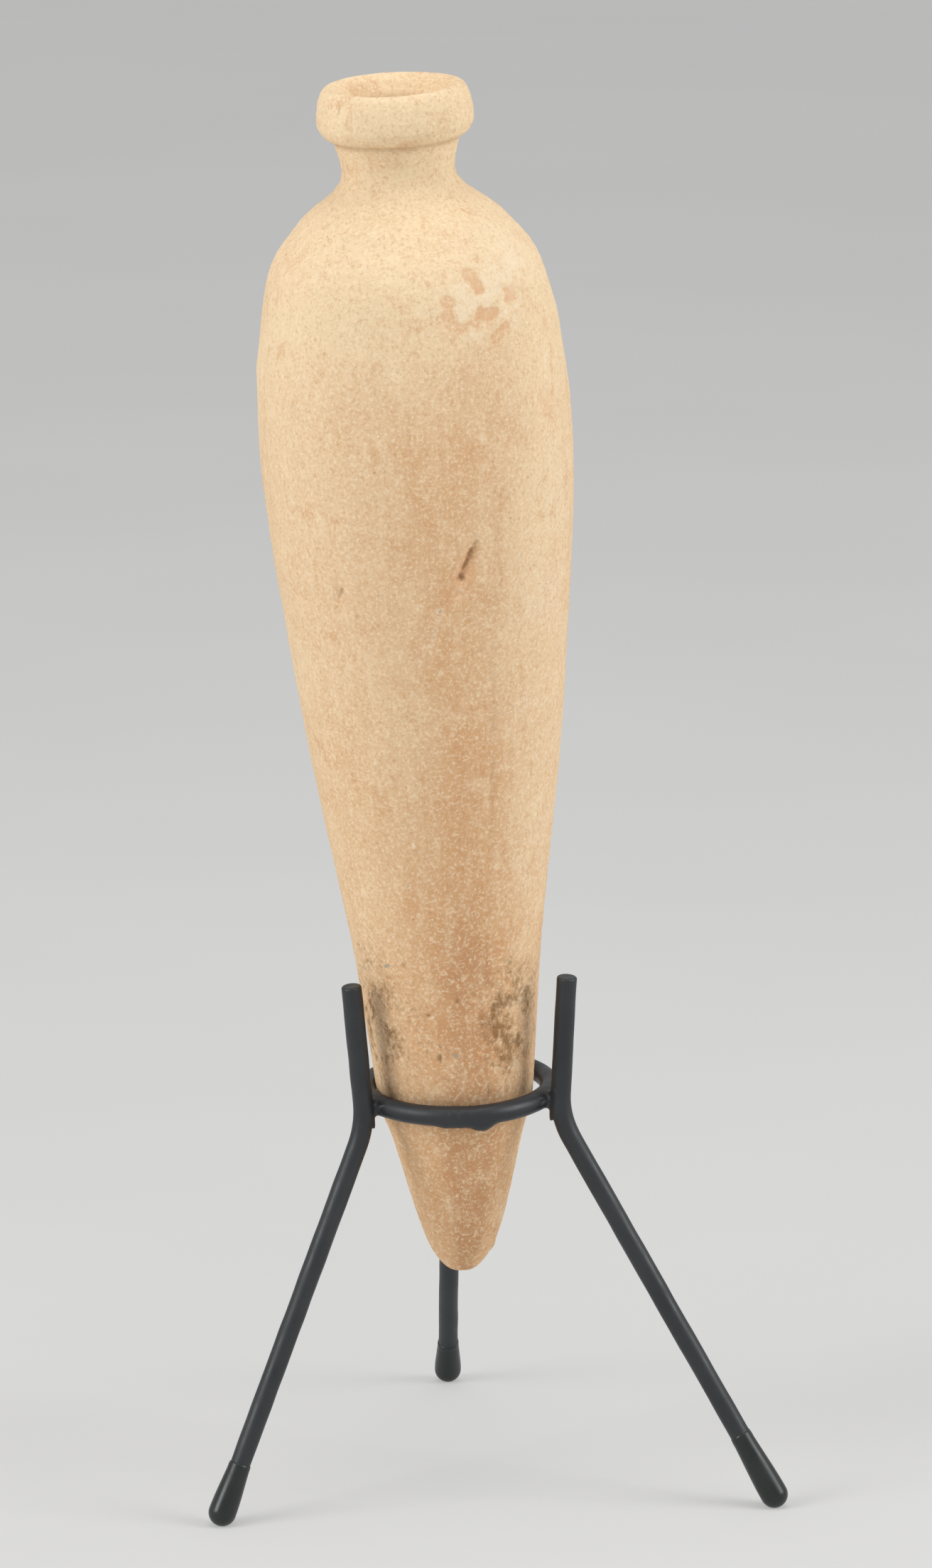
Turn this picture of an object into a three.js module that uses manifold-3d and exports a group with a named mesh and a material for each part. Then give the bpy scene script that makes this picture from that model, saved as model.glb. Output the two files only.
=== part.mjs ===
// A handle-less clay bottle with a pointed foot, held upright in the ring of a black steel tripod.
// Millimetres, +Z up. The origin is the middle of the bottom of the whole object's box.
import * as THREE from 'three';
import { mergeVertices } from 'three/addons/utils/BufferGeometryUtils.js';
import Module from 'manifold-3d';

const wasm = await Module();
wasm.setup();

// Bottle: outer radii at its stations, and the rise from each station to the next one
const pointRadius = 4.4;
const pointRise = 1.7;
const footRadius = 9.1;
const footRise = 8.6;
const lowRadius = 15.4;
const lowRise = 24;
const seatRadius = 18.3;
const seatRise = 11;
const coneRadius = 22.2;
const coneRise = 37;
const flankRadius = 30.1;
const flankRise = 55;
const bellyRadius = 35.9;
const bellyRise = 62;
const crownRadius = 32.3;
const crownRise = 39;
const slopeRadius = 24.3;
const slopeRise = 14.5;
const neckRootRadius = 15;
const neckRootRise = 8;
const neckRadius = 12.9;
const neckRise = 4.6;
const neckTopRadius = 14.2;
const neckTopRise = 6.2;

// Rolled rim, as heights above the seam where it sits on the neck
const rimRadius = 17.9;
const rimWidest = 6;
const rimHeight = 13;
const crestRadius = 14.6;
const mouthRadius = 11;
const mouthDrop = 4.2;
const throatDrop = 7.5;

// Wall of the pot, and the seams between its three luted sections
const wall = 4.3;
const seamGap = 0.3;

// Hand-made unevenness: how far the axis bows to the right, and how far the point kicks back
const bow = 0.3;
const pointKick = 1;

// Stand: one rod size throughout, a ring, and three bent legs that end on a floor circle.
// The ring is a little wider than the pot, which stands to the left in it.
const rodRadius = 2.4;
const seatGap = 0.9;
const seatOffset = 0.6;
const jointGap = 0.2;
const ringHeight = 95.6;
const footCircleRadius = 74.9;
const uprightHeight = 30.6;
const uprightFlare = 4.4;
const bendDrop = 4;
const bendLength = 6;

// The bent stand: the ring sits off the middle of the feet, and its crown leans and is twisted
const ringShiftX = -6.3;
const ringShiftY = -6.3;
const crownLean = 4.3;
const crownLeanTowards = 245;
const crownTwist = -2.3;
const bottleLean = 2.05;
const bottleLeanTowards = 187;

// Dipped feet: a coat over the end of each rod, thin at its edge and full at the floor
const coatRadius = 3.25;
const coatLip = 0.3;
const socketGap = 0.2;
const coatFlat = 0.15;

// Weld metal: fillets between ring and uprights, and the bead that closes the ring
const filletWidth = 3.5;
const filletDepth = 2.9;
const filletHeight = 3.8;
const weldGap = 0.3;
const weldAzimuth = 266;
const weldOpening = 1.4;
const beadRadius = 1.1;
const smallLumpRadius = 1.3;
const smallLumpAngle = -9;
const largeLumpRadius = 2.1;
const largeLumpAngle = 13;

// Facets: sides round the pot, round a rod, and steps along curves
const potSides = 40;
const rodSides = 12;
const legSteps = 32;
const ringSteps = 48;

const legs = [
  { name: 'rear', azimuth: 90, dip: 10 },
  { name: 'front_left', azimuth: 210, dip: 12 },
  { name: 'front_right', azimuth: 330, dip: 16 },
];

const ringRadius = seatRadius + seatGap + rodRadius;
const uprightRadius = ringRadius + 2 * rodRadius + jointGap;
const seatHeight = pointRise + footRise + lowRise + seatRise;
const up = new THREE.Vector3(0, 0, 1);

const clay = new THREE.MeshStandardMaterial({ color: 0xcfa57c, roughness: 0.9, metalness: 0 });
const paint = new THREE.MeshStandardMaterial({ color: 0x2b2f31, roughness: 0.45, metalness: 0.2 });
const coat = new THREE.MeshStandardMaterial({ color: 0x14181a, roughness: 0.35, metalness: 0 });

// Named mesh with a material of its own
function mesh(name, geometry, material) {
  const piece = new THREE.Mesh(geometry, material.clone());
  piece.name = name;
  return piece;
}

// Closed geometry to solid, and back again
function solidOf(geometry) {
  const bare = geometry.index ? geometry.toNonIndexed() : geometry.clone();
  bare.deleteAttribute('normal');
  bare.deleteAttribute('uv');
  const merged = mergeVertices(bare, 1e-4);
  return new wasm.Manifold(new wasm.Mesh({
    numProp: 3,
    vertProperties: new Float32Array(merged.attributes.position.array),
    triVerts: new Uint32Array(merged.index.array),
  }));
}

function geometryOf(solid) {
  const found = solid.getMesh();
  const geometry = new THREE.BufferGeometry();
  geometry.setAttribute('position', new THREE.BufferAttribute(found.vertProperties, 3));
  geometry.setIndex(new THREE.BufferAttribute(found.triVerts, 1));
  return geometry;
}

// Rotation that leans an upright axis by an angle towards a compass direction
function leaning(degrees, towards) {
  const azimuth = THREE.MathUtils.degToRad(towards);
  const axis = new THREE.Vector3(-Math.sin(azimuth), Math.cos(azimuth), 0);
  return new THREE.Quaternion().setFromAxisAngle(axis, THREE.MathUtils.degToRad(degrees));
}

// Point at a radius, an azimuth in degrees and a height
function polar(radius, degrees, height) {
  const azimuth = THREE.MathUtils.degToRad(degrees);
  return new THREE.Vector3(radius * Math.cos(azimuth), radius * Math.sin(azimuth), height);
}

// Profile of [radius, height] pairs turned about +Z
function turned(profile, sides) {
  const points = profile.map(([radius, height]) => new THREE.Vector2(radius, height));
  return new THREE.LatheGeometry(points, sides).rotateX(Math.PI / 2);
}

// Outer outline of the pot from its point to the seam under the rim
function potOutline() {
  const stations = [
    [pointRadius, pointRise],
    [footRadius, footRise],
    [lowRadius, lowRise],
    [seatRadius, seatRise],
    [coneRadius, coneRise],
    [flankRadius, flankRise],
    [bellyRadius, bellyRise],
    [crownRadius, crownRise],
    [slopeRadius, slopeRise],
    [neckRootRadius, neckRootRise],
    [neckRadius, neckRise],
    [neckTopRadius, neckTopRise],
  ];
  const points = [new THREE.Vector2(0, 0)];
  let height = 0;
  for (const [radius, rise] of stations) {
    height += rise;
    points.push(new THREE.Vector2(radius, height));
  }
  return points;
}

// Outline read at any height, in about even steps along its smooth curve
function potSurface() {
  const samples = new THREE.SplineCurve(potOutline()).getPoints(240);
  const offset = samples.map((point, index) => {
    const before = samples[Math.max(index - 1, 0)];
    const after = samples[Math.min(index + 1, samples.length - 1)];
    const along = after.clone().sub(before).normalize();
    return new THREE.Vector2(point.x - along.y * wall, point.y + along.x * wall);
  });
  const hollow = offset.filter((point, index) => {
    const rising = offset.slice(0, index).every((earlier) => earlier.y < point.y);
    return point.x > 0 && rising;
  });
  return { outer: samples, inner: hollow };
}

// Radius of a sampled outline at a height
function radiusAt(samples, height) {
  const next = samples.findIndex((point) => point.y >= height);
  if (next <= 0) return samples[next === 0 ? 0 : samples.length - 1].x;
  const [low, high] = [samples[next - 1], samples[next]];
  return THREE.MathUtils.mapLinear(height, low.y, high.y, low.x, high.x);
}

// Heights from low to high, closer together near the ends where the pot curves most
function heightsBetween(low, high, steps) {
  return Array.from({ length: steps + 1 }, (_, step) => {
    const even = step / steps;
    const eased = (1 - Math.cos(Math.PI * even)) / 2;
    return THREE.MathUtils.lerp(low, high, (even + eased) / 2);
  });
}

// The pot's axis bows a little between its seat and its mouth, and its point kicks back
function unevenness(height) {
  if (height < seatHeight) return -pointKick * (1 - height / seatHeight) ** 2;
  return bow * Math.sin(Math.PI * (height - seatHeight) / (mouthHeight - seatHeight));
}

// Section of the pot, turned, made uneven and set with the ring's plane at zero height
function potSection(profile) {
  const geometry = turned(profile, potSides);
  const position = geometry.attributes.position;
  for (let index = 0; index < position.count; index += 1) {
    const height = position.getZ(index);
    position.setX(index, position.getX(index) + unevenness(height));
    position.setZ(index, height - seatHeight);
  }
  return geometry;
}

const surface = potSurface();
const rimSeam = potOutline().at(-1).y;
const neckSeam = rimSeam - neckTopRise - neckRise;
const mouthHeight = rimSeam + rimHeight;
const hollowFloor = surface.inner[0].y;

// Pointed body, hollow down to a thick floor over the point, open at the foot of the neck
function bottleBody() {
  const top = neckSeam - seamGap;
  const outside = heightsBetween(0, top, 24).map((height) => [radiusAt(surface.outer, height), height]);
  const inside = heightsBetween(hollowFloor, top, 18).map((height) => [radiusAt(surface.inner, height), height]);
  const floor = [0, hollowFloor];
  return potSection([...outside, ...inside.reverse(), floor]);
}

// Short neck, a tube that widens into the body below and into the rim above
function bottleNeck() {
  const top = rimSeam - seamGap;
  const outside = heightsBetween(neckSeam, top, 8).map((height) => [radiusAt(surface.outer, height), height]);
  const inside = outside.map(([, height]) => [radiusAt(surface.inner, height), height]);
  return potSection([...outside, ...inside.reverse(), outside[0]]);
}

// Rolled rim: a fat rounded collar whose mouth falls in like a funnel to the bore
function bottleRim() {
  const bore = radiusAt(surface.inner, rimSeam);
  const middle = (crestRadius + rimRadius) / 2;
  const roll = new THREE.SplineCurve([
    new THREE.Vector2(neckTopRadius, rimSeam),
    new THREE.Vector2(rimRadius - 0.7, rimSeam + rimWidest / 2),
    new THREE.Vector2(rimRadius, rimSeam + rimWidest),
    new THREE.Vector2(middle + 0.6, mouthHeight - 1.9),
    new THREE.Vector2(crestRadius, mouthHeight),
    new THREE.Vector2(mouthRadius, mouthHeight - mouthDrop),
    new THREE.Vector2((mouthRadius + bore) / 2, mouthHeight - throatDrop),
    new THREE.Vector2(bore, rimSeam),
  ]).getPoints(21).map((point) => [point.x, point.y]);
  return potSection([...roll, roll[0]]);
}

// Round rod swept along a path
function rod(path, radius, steps) {
  const section = new THREE.Shape().absarc(0, 0, radius, 0, 2 * Math.PI);
  return new THREE.ExtrudeGeometry(section, { extrudePath: path, steps, curveSegments: rodSides / 2 });
}

// Part of the ring's circle as a path, from one azimuth to another in degrees
class RingArc extends THREE.Curve {
  constructor(start, end) {
    super();
    this.start = start;
    this.end = end;
  }

  getPoint(share, target = new THREE.Vector3()) {
    return target.copy(polar(ringRadius, THREE.MathUtils.lerp(this.start, this.end, share), 0));
  }
}

function ringArc(start, end, radius, steps, drop = 0) {
  return rod(new RingArc(start, end), radius, steps).translate(0, 0, -drop);
}

// Half of the ring's open gap, as an angle
const halfOpening = THREE.MathUtils.radToDeg(weldOpening / 2 / ringRadius);
const ringStart = weldAzimuth + halfOpening;
const ringEnd = weldAzimuth + 360 - halfOpening;

// Bead that closes the ring: a plug between the rod's two ends, with lumps run down below it
function ringWeld() {
  const plugHalf = halfOpening - THREE.MathUtils.radToDeg(weldGap / ringRadius);
  const plug = ringArc(weldAzimuth - plugHalf, weldAzimuth + plugHalf, rodRadius, 1);
  const beadDrop = rodRadius;
  const runFrom = weldAzimuth + smallLumpAngle;
  const runTo = weldAzimuth + largeLumpAngle;
  const lumps = [[smallLumpRadius, runFrom], [largeLumpRadius, runTo]].map(([radius, azimuth]) => {
    const place = polar(ringRadius, azimuth, -beadDrop);
    return solidOf(new THREE.SphereGeometry(radius, 12, 8).translate(place.x, place.y, place.z));
  });
  const run = solidOf(ringArc(runFrom, runTo, beadRadius, 8, beadDrop));
  const clearance = solidOf(ringArc(ringStart, ringEnd, rodRadius + weldGap, ringSteps));
  const bead = lumps.reduce((sum, lump) => sum.add(lump), run);
  return geometryOf(bead.subtract(clearance).add(solidOf(plug)));
}

// Centre line of an upright at a height over the ring's plane, in the crown's own frame
function uprightPoint(azimuth, height) {
  const flare = Math.tan(THREE.MathUtils.degToRad(uprightFlare));
  return polar(uprightRadius + height * flare, azimuth, height);
}

// Fillet of weld metal in the corner between the ring and an upright
function ringFillet(azimuth) {
  const blob = new THREE.SphereGeometry(1, 14, 10)
    .scale(filletDepth, filletWidth, filletHeight)
    .rotateZ(THREE.MathUtils.degToRad(azimuth));
  const centre = polar(ringRadius + rodRadius + jointGap / 2, azimuth, 0);
  blob.translate(centre.x, centre.y, centre.z);
  const reach = 3 * filletHeight;
  const uprightLine = new THREE.LineCurve3(uprightPoint(azimuth, -reach), uprightPoint(azimuth, reach));
  const upright = solidOf(rod(uprightLine, rodRadius + weldGap, 1));
  const ring = solidOf(ringArc(ringStart, ringEnd, rodRadius + weldGap, ringSteps));
  return geometryOf(solidOf(blob).subtract(upright).subtract(ring));
}

// Crown of the stand: everything above the bends leans together
const crown = new THREE.Group();
crown.position.set(ringShiftX, ringShiftY, ringHeight);
crown.quaternion.copy(leaning(crownLean, crownLeanTowards));
crown.updateMatrix();

// Centre of a dipped foot over the floor circle
function footCentre(azimuth) {
  return polar(footCircleRadius, azimuth, coatRadius - coatFlat);
}

// Bend of a leg under the ring, in the stand's frame
function bendPoint(azimuth) {
  return uprightPoint(azimuth + crownTwist, -bendDrop).applyMatrix4(crown.matrix);
}

// One bent rod: an upright above the ring, a bend below it, and a leg down to the floor
function legRod({ azimuth }) {
  const top = uprightPoint(azimuth + crownTwist, uprightHeight).applyMatrix4(crown.matrix);
  const bend = bendPoint(azimuth);
  const end = footCentre(azimuth);
  const above = bend.clone().add(top.clone().sub(bend).setLength(bendLength));
  const below = bend.clone().add(end.clone().sub(bend).setLength(bendLength));
  const path = new THREE.CurvePath();
  path.add(new THREE.LineCurve3(top, above));
  path.add(new THREE.QuadraticBezierCurve3(above, bend, below));
  path.add(new THREE.LineCurve3(below, end));
  return rod(path, rodRadius, legSteps);
}

// Dipped coat over the end of a leg: a socket for the rod, a round end and a small flat on the floor
function dippedFoot({ azimuth, dip }) {
  const socket = rodRadius + socketGap;
  const round = Array.from({ length: 7 }, (_, step) => {
    const angle = (step / 6) * Math.PI / 2;
    return [coatRadius * Math.sin(angle), -coatRadius * Math.cos(angle)];
  });
  const taper = [0.3, 0.6, 0.85, 1].map((share) => {
    const thin = THREE.MathUtils.smoothstep(share, 0, 1.25);
    return [THREE.MathUtils.lerp(coatRadius, socket + coatLip, thin), share * dip];
  });
  const profile = [...round, ...taper, [socket, dip], [socket, -socketGap], [0, -socketGap]];
  const leg = bendPoint(azimuth).sub(footCentre(azimuth)).normalize();
  const centre = footCentre(azimuth);
  const coatShape = turned(profile, rodSides + 4)
    .applyQuaternion(new THREE.Quaternion().setFromUnitVectors(up, leg))
    .translate(centre.x, centre.y, centre.z);
  const slab = 4 * coatRadius;
  const floor = new THREE.BoxGeometry(slab, slab, slab).translate(centre.x, centre.y, -slab / 2);
  return geometryOf(solidOf(coatShape).subtract(solidOf(floor)));
}

// Stand: three legs with their feet, and the crown with its ring and weld metal
function stand() {
  const group = new THREE.Group();
  group.add(crown);
  crown.add(mesh('ring', ringArc(ringStart, ringEnd, rodRadius, ringSteps), paint));
  crown.add(mesh('ring_weld', ringWeld(), paint));
  for (const leg of legs) {
    group.add(mesh(`leg_${leg.name}`, legRod(leg), paint));
    group.add(mesh(`foot_${leg.name}`, dippedFoot(leg), coat));
    crown.add(mesh(`fillet_${leg.name}`, ringFillet(leg.azimuth + crownTwist), paint));
  }
  return group;
}

// Bottle: seated in the ring and leaning on its own, relative to the crown
function bottle() {
  const group = new THREE.Group();
  group.position.set(-seatOffset, 0, 0);
  group.quaternion.copy(leaning(bottleLean, bottleLeanTowards));
  group.add(mesh('bottle_body', bottleBody(), clay));
  group.add(mesh('bottle_neck', bottleNeck(), clay));
  group.add(mesh('bottle_rim', bottleRim(), clay));
  return group;
}

const object = new THREE.Group();
object.add(stand());
crown.add(bottle());

// Move the whole object so that the middle of the bottom of its box is the origin
object.updateMatrixWorld(true);
const bounds = new THREE.Box3().setFromObject(object, true);
const middle = bounds.getCenter(new THREE.Vector3());
object.position.set(-middle.x, -middle.y, -bounds.min.z);

export default object;
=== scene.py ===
"""A pointed clay bottle with a rolled rim, seated in the ring of a black tripod of bent steel rod.

Sizes are in millimetres until they reach Blender, which gets metres.
"""

import math

import bpy
import numpy as np
from mathutils import Matrix, Quaternion, Vector


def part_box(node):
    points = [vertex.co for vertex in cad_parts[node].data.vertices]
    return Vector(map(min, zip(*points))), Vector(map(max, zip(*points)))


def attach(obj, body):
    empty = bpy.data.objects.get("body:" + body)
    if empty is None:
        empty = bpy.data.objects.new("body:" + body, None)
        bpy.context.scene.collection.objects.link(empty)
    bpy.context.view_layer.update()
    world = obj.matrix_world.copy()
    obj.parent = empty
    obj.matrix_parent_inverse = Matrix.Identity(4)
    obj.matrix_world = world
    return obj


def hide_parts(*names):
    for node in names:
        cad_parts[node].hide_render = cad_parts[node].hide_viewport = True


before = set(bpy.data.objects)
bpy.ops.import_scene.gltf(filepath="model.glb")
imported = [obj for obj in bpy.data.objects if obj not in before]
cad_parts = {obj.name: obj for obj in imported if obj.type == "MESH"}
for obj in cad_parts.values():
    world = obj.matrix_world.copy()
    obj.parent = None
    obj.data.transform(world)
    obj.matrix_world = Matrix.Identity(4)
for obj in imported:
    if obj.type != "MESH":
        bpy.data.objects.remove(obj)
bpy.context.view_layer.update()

MM = 0.001

# Outer radii of the pot at its stations, and the rise to each from the one before
POT_STATIONS = [
    (4.4, 1.7), (9.1, 8.6), (15.4, 24.0), (18.3, 11.0), (22.2, 37.0), (30.1, 55.0),
    (35.9, 62.0), (32.3, 39.0), (24.3, 14.5), (15.0, 8.0), (12.9, 4.6), (14.2, 6.2),
]
SEAT_STATION = 4
WALL = 4.3

# Rolled rim, as heights above the seam where it sits on the neck
RIM_RADIUS = 17.9
RIM_WIDEST = 6.0
RIM_HEIGHT = 13.0
CREST_RADIUS = 14.6
MOUTH_RADIUS = 11.0
MOUTH_DROP = 4.2
THROAT_DROP = 7.5

# Hand-made unevenness of the pot's axis
BOW = 0.3
POINT_KICK = 1.0

# Stand
ROD = 2.4
RING_SHIFT = Vector((-6.3, -6.3, 95.6))
FOOT_CIRCLE = 74.9
COAT_RADIUS = 3.25
COAT_FLAT = 0.15
COAT_EDGE = 2.42
JOINT_GAP = 0.2
SEAT_GAP = 0.9
SEAT_OFFSET = 0.6
UPRIGHT_HEIGHT = 30.6
UPRIGHT_FLARE = math.radians(4.4)
BEND_DROP = 4.0
BEND_LENGTH = 6.0
CROWN_LEAN = (4.3, 245.0)
CROWN_TWIST = -2.3
BOTTLE_LEAN = (2.05, 187.0)
WELD_AZIMUTH = 266.0
LEGS = {"rear": (90.0, 10.0), "front_left": (210.0, 12.0), "front_right": (330.0, 16.0)}

SEAT_RADIUS, SEAT_HEIGHT = POT_STATIONS[SEAT_STATION - 1][0], sum(rise for _, rise in POT_STATIONS[:SEAT_STATION])
RIM_SEAM = sum(rise for _, rise in POT_STATIONS)
MOUTH_HEIGHT = RIM_SEAM + RIM_HEIGHT
RING_RADIUS = SEAT_RADIUS + SEAT_GAP + ROD
UPRIGHT_RADIUS = RING_RADIUS + 2 * ROD + JOINT_GAP

# Fineness of the meshes
POT_SIDES = 400
POT_STEP = 0.62
ROD_SIDES = 40
ROD_STEP = 0.7


def leaning(degrees, towards):
    """Rotation that leans an upright axis by an angle towards a compass direction."""
    azimuth = math.radians(towards)
    return Quaternion((-math.sin(azimuth), math.cos(azimuth), 0.0), math.radians(degrees))


def polar(radius, degrees, height):
    azimuth = math.radians(degrees)
    return Vector((radius * math.cos(azimuth), radius * math.sin(azimuth), height))


# The ring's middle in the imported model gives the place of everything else
ring_low, ring_high = (Vector(corner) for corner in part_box("ring"))
ring_centre = (ring_low + ring_high) / 2 / MM
STAND_ORIGIN = Vector((ring_centre.x - RING_SHIFT.x, ring_centre.y - RING_SHIFT.y, 0.0))
CROWN = Matrix.Translation(STAND_ORIGIN + RING_SHIFT) @ leaning(*CROWN_LEAN).to_matrix().to_4x4()
SEATED = CROWN @ Matrix.Translation((-SEAT_OFFSET, 0, 0))
BOTTLE = SEATED @ leaning(*BOTTLE_LEAN).to_matrix().to_4x4() @ Matrix.Translation((0, 0, -SEAT_HEIGHT))


# Mesh helpers

def catmull_rom(points, per_span=24):
    """Smooth curve through points, with its ends held, sampled evenly in each span."""
    points = np.array(points, float)
    last = len(points) - 1
    found = []
    for span in range(last):
        p0, p1 = points[max(span - 1, 0)], points[span]
        p2, p3 = points[span + 1], points[min(span + 2, last)]
        for t in np.linspace(0, 1, per_span, endpoint=False):
            v0, v1 = (p2 - p0) / 2, (p3 - p1) / 2
            cubic = (2 * p1 - 2 * p2 + v0 + v1) * t ** 3
            found.append(cubic + (-3 * p1 + 3 * p2 - 2 * v0 - v1) * t ** 2 + v0 * t + p1)
    return np.array(found + [points[last]])


def even_steps(curve, step):
    """The curve again, in even steps of about the given length."""
    lengths = np.concatenate([[0], np.cumsum(np.linalg.norm(np.diff(curve, axis=0), axis=1))])
    wanted = np.linspace(0, lengths[-1], max(2, round(lengths[-1] / step) + 1))
    return np.stack([np.interp(wanted, lengths, curve[:, axis]) for axis in range(curve.shape[1])], 1)


def build_mesh(name, points, faces, material, placed=None):
    """Smooth-shaded object from points in millimetres."""
    points = np.asarray(points)
    if placed is not None:
        points = points @ np.array(placed.to_3x3()).T + np.array(placed.translation)
    mesh = bpy.data.meshes.new(name)
    mesh.from_pydata((points * MM).tolist(), [], faces)
    mesh.validate()
    mesh.shade_smooth()
    mesh.materials.append(material)
    piece = bpy.data.objects.new(name, mesh)
    bpy.context.collection.objects.link(piece)
    return piece


def grid_faces(rows, columns):
    """Quads of a grid that closes on itself along its columns."""
    faces = []
    for row in range(rows - 1):
        low, high = row * columns, (row + 1) * columns
        for column in range(columns):
            following = (column + 1) % columns
            faces.append((low + column, low + following, high + following, high + column))
    return faces


def capped_grid(rings):
    """Points and faces of stacked rings, with a point on the axis at each end."""
    rows, columns = rings.shape[:2]
    points = np.concatenate([rings.reshape(-1, 3), rings[0].mean(0)[None], rings[-1].mean(0)[None]])
    faces = grid_faces(rows, columns)
    start, end, top = rows * columns, rows * columns + 1, (rows - 1) * columns
    for column in range(columns):
        following = (column + 1) % columns
        faces.append((start, following, column))
        faces.append((end, top + column, top + following))
    return points, faces


def store(mesh, name, values):
    """Number for each point of a mesh, which a material can read."""
    layer = mesh.attributes.new(name, "FLOAT", "POINT")
    layer.data.foreach_set("value", np.ascontiguousarray(values, dtype=np.float32))


def lattice_noise(u, v, cells_u, cells_v, seed):
    """Smooth noise in -1 to 1 over two shares; it repeats along u."""
    random = np.random.default_rng(seed)
    grid = random.uniform(-1, 1, (cells_v + 2, cells_u))
    x, y = (u % 1) * cells_u, np.clip(v, 0, 0.999999) * cells_v
    x0, y0 = x.astype(int) % cells_u, y.astype(int)
    fx, fy = x - np.floor(x), y - np.floor(y)
    fx, fy = fx * fx * (3 - 2 * fx), fy * fy * (3 - 2 * fy)
    x1 = (x0 + 1) % cells_u
    low = grid[y0, x0] * (1 - fx) + grid[y0, x1] * fx
    high = grid[y0 + 1, x0] * (1 - fx) + grid[y0 + 1, x1] * fx
    return low * (1 - fy) + high * fy


# Pot

def pot_profile():
    """Closed outline of the pot: up its outside, over the rim and down inside to the floor."""
    stations = [(0.0, 0.0)]
    for radius, rise in POT_STATIONS:
        stations.append((radius, stations[-1][1] + rise))
    outer = catmull_rom(stations, 20)
    along = np.gradient(outer, axis=0)
    along /= np.linalg.norm(along, axis=1)[:, None]
    inner = outer + WALL * np.stack([-along[:, 1], along[:, 0]], 1)
    rising = np.maximum.accumulate(np.concatenate([[-1e9], inner[:-1, 1]])) < inner[:, 1]
    inner = inner[rising & (inner[:, 0] > 0)]
    bore = inner[-1, 0]
    crest_side = (CREST_RADIUS + RIM_RADIUS) / 2 + 0.6
    roll = catmull_rom([
        (POT_STATIONS[-1][0], RIM_SEAM),
        (RIM_RADIUS - 0.7, RIM_SEAM + RIM_WIDEST / 2),
        (RIM_RADIUS, RIM_SEAM + RIM_WIDEST),
        (crest_side, MOUTH_HEIGHT - 1.9),
        (CREST_RADIUS, MOUTH_HEIGHT),
        (MOUTH_RADIUS, MOUTH_HEIGHT - MOUTH_DROP),
        ((MOUTH_RADIUS + bore) / 2, MOUTH_HEIGHT - THROAT_DROP),
        (bore, RIM_SEAM),
    ], 20)
    outside = even_steps(outer, POT_STEP)
    over = even_steps(roll, POT_STEP * 0.8)
    inside = even_steps(inner[::-1], POT_STEP * 3)
    return outside, over, inside


def turned_from(angle, centre):
    """Degrees from a centre angle, the short way round."""
    return (angle - centre + 180) % 360 - 180


def patch(height, angle, centre, half_size, tilt=0.0, power=2.0):
    """Mask of 1 at a centre (height, degrees), falling off over half sizes (along, across) in mm."""
    radius = 18 + 0.075 * np.clip(height - 43, 0, 200)
    across = np.radians(turned_from(angle, centre[1])) * radius
    along = height - centre[0]
    turn = math.radians(tilt)
    u = across * math.cos(turn) - along * math.sin(turn)
    v = across * math.sin(turn) + along * math.cos(turn)
    distance = np.sqrt((u / half_size[1]) ** 2 + (v / half_size[0]) ** 2)
    return np.exp(-distance ** power)


# Marks on the pot: centre (height, degrees from the front), half size (along, across), tilt
GOUGES = [
    ((180.8, 11.2), (4.6, 1.0), 23, 0.8),
    ((182.8, 12.6), (1.6, 0.7), 15, 0.4),
    ((177.6, 8.8), (1.6, 1.1), 15, 0.45),
    ((173.6, 7.0), (1.1, 1.5), 30, 0.25),
    ((169.4, 0.2), (2.8, 0.9), 14, 0.28),
    ((163.9, -2.6), (2.6, 0.9), 18, 0.28),
    ((174.0, -39.6), (2.6, 0.9), 22, 0.35),
    ((169.4, -41.5), (1.3, 0.7), 12, 0.25),
    ((213.0, 52.2), (3.4, 2.3), 0, 0.2),
    ((69.6, -17.7), (0.9, 1.1), 0, 0.4),
    ((73.3, -1.0), (1.6, 0.6), 0, 0.3),
    ((59.0, -14.6), (1.3, 0.8), 0, 0.35),
    ((67.5, 22.3), (4.4, 0.35), 0, 0.35),
    ((49.6, 18.6), (1.9, 0.45), 0, 0.35),
    ((166.0, 37.4), (1.3, 0.22), 30, 0.2),
    ((121.0, 160.0), (6.0, 1.5), -12, 0.5),
    ((205.0, 205.0), (4.0, 2.0), 30, 0.4),
    ((88.0, 118.0), (2.2, 1.3), 0, 0.45),
]
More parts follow.
